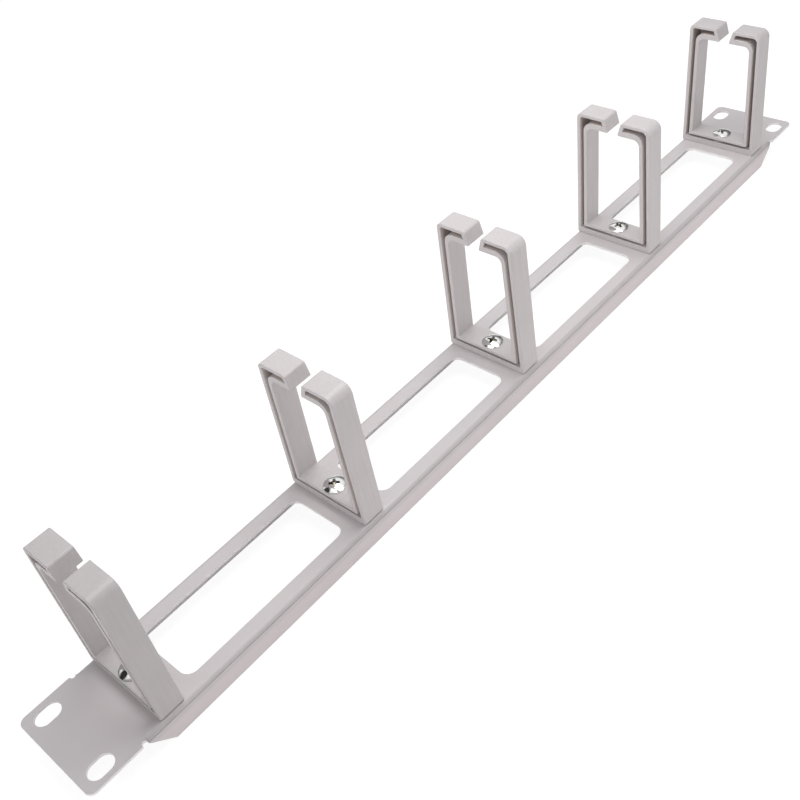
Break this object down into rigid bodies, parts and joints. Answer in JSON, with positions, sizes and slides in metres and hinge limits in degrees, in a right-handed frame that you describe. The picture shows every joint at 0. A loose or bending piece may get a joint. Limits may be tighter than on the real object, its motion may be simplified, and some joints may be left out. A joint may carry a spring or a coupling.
{
  "type": "rack cable management panel",
  "caption": "Folded one-unit rack panel with slotted ears and windows, carrying a row of open moulded rings that hold cables in front of it.",
  "frame": {"origin": "middle of the rectangle on which the two flange edges stand, under the panel's middle", "axes": "+X along the panel towards the end that the ring grooves face away from, +Y across its one-unit height, +Z out of its front face"},
  "size_m": [0.4826, 0.0436, 0.0764],
  "materials": {
    "panel_paint": "light warm grey paint with a fine, nearly smooth texture, satin",
    "ring_plastic": "light warm grey moulded plastic, satin",
    "screw_plating": "bright plated steel",
    "nut_plating": "plain zinc plated steel"
  },
  "bodies": {
    "root": {"panel": "panel_paint", "ring_1": "ring_plastic", "ring_2": "ring_plastic", "ring_3": "ring_plastic", "ring_4": "ring_plastic", "ring_5": "ring_plastic", "screw_1": "screw_plating", "screw_2": "screw_plating", "screw_3": "screw_plating", "screw_4": "screw_plating", "screw_5": "screw_plating", "nut_1": "nut_plating", "nut_2": "nut_plating", "nut_3": "nut_plating", "nut_4": "nut_plating", "nut_5": "nut_plating"}
  },
  "joints": []
}
